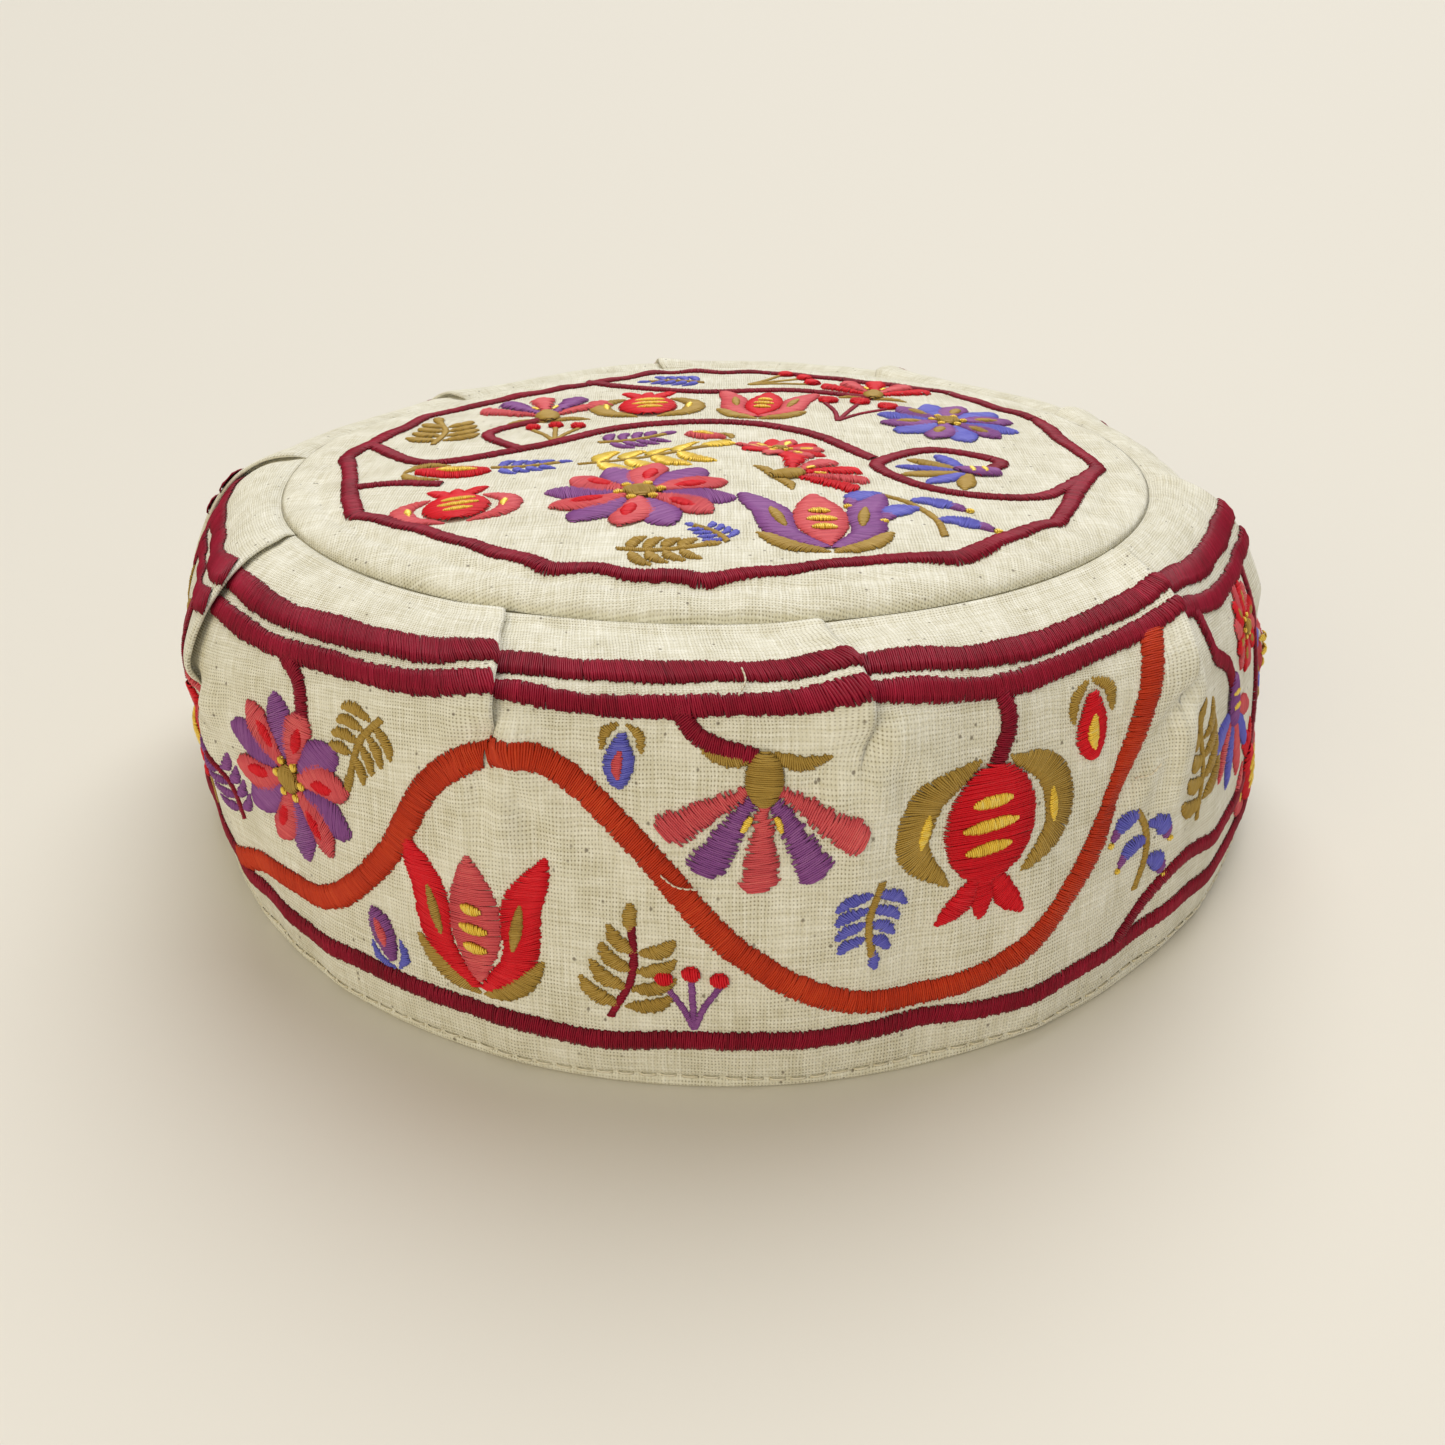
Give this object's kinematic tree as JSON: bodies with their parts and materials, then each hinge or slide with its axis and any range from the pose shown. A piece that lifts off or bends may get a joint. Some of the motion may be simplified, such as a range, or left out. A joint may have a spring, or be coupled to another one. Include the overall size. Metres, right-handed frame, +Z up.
{
  "type": "kippah",
  "caption": "Round flat-topped canvas skullcap with a knife-pleated band, a rolled crown seam and folk flower embroidery, open below for the head.",
  "frame": {"origin": "middle of the cap's footprint, at the hem's lower edge where it rests", "axes": "+Z up through the crown, -Y towards the front, +X towards the right seen from the front"},
  "size_m": [0.1884, 0.185, 0.063],
  "materials": {
    "canvas": "natural unbleached plain-weave cotton and linen canvas, matt",
    "maroon_thread": "mercerised embroidery thread in satin stitch, soft sheen",
    "scarlet_thread": "mercerised embroidery thread in satin stitch, soft sheen",
    "coral_thread": "mercerised embroidery thread in satin stitch, soft sheen",
    "orange_thread": "mercerised embroidery thread in satin stitch, soft sheen",
    "violet_thread": "mercerised embroidery thread in satin stitch, soft sheen",
    "periwinkle_thread": "mercerised embroidery thread in satin stitch, soft sheen",
    "ochre_thread": "mercerised embroidery thread in satin stitch, soft sheen",
    "gilt_thread": "metallic wound thread, bright",
    "cream_thread": "cotton sewing thread, matt"
  },
  "bodies": {
    "root": {"band": "canvas", "crown": "canvas"}
  },
  "joints": []
}
